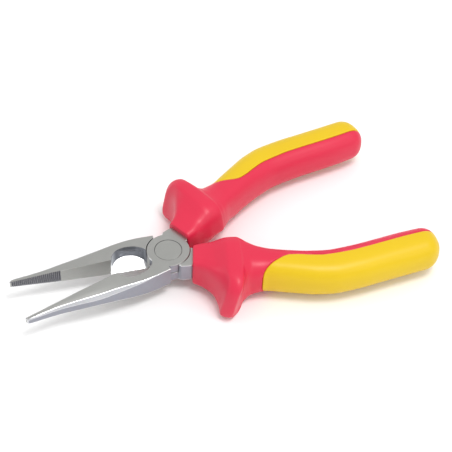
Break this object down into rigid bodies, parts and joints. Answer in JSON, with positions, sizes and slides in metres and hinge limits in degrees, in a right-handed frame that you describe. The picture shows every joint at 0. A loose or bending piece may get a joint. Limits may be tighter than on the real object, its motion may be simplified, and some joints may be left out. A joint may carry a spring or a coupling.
{
  "type": "needle nose pliers",
  "caption": "Insulated long nose pliers: tapering serrated jaws with a side cutter, a flush riveted lap joint and two-colour bowed grips with finger guards.",
  "frame": {"origin": "centre of the rivet's lower face, on the pivot axis; the joint is 10 mm thick and stands above it", "axes": "+X from the pivot towards the handle ends, midway between them, -X towards the jaw tips; +Z along the pivot axis, up out of the face that the cutter's hollow opens on"},
  "size_m": [0.1956, 0.1002, 0.0254],
  "materials": {
    "forged_steel": "satin ground faces, bright bevels",
    "rivet_steel": "ground flush with the joint",
    "red_grip": "soft moulded elastomer, low sheen",
    "yellow_grip": "soft moulded elastomer, low sheen",
    "liner": "hard moulded insulation, not seen"
  },
  "bodies": {
    "lower_lever": {"lower_half": "forged_steel", "pivot_rivet": "rivet_steel", "lower_grip_sleeve": "red_grip", "lower_grip_insert": "yellow_grip", "lower_tang_liner": "liner"},
    "upper_lever": {"upper_half": "forged_steel", "upper_grip_sleeve": "red_grip", "upper_grip_insert": "yellow_grip", "upper_tang_liner": "liner"}
  },
  "joints": [
    {"name": "pivot", "type": "hinge", "parent": "lower_lever", "child": "upper_lever", "pos_m": [0, 0, 0.005], "axis": [0, 0, 1], "range_deg": [-17.2, 21]}
  ]
}
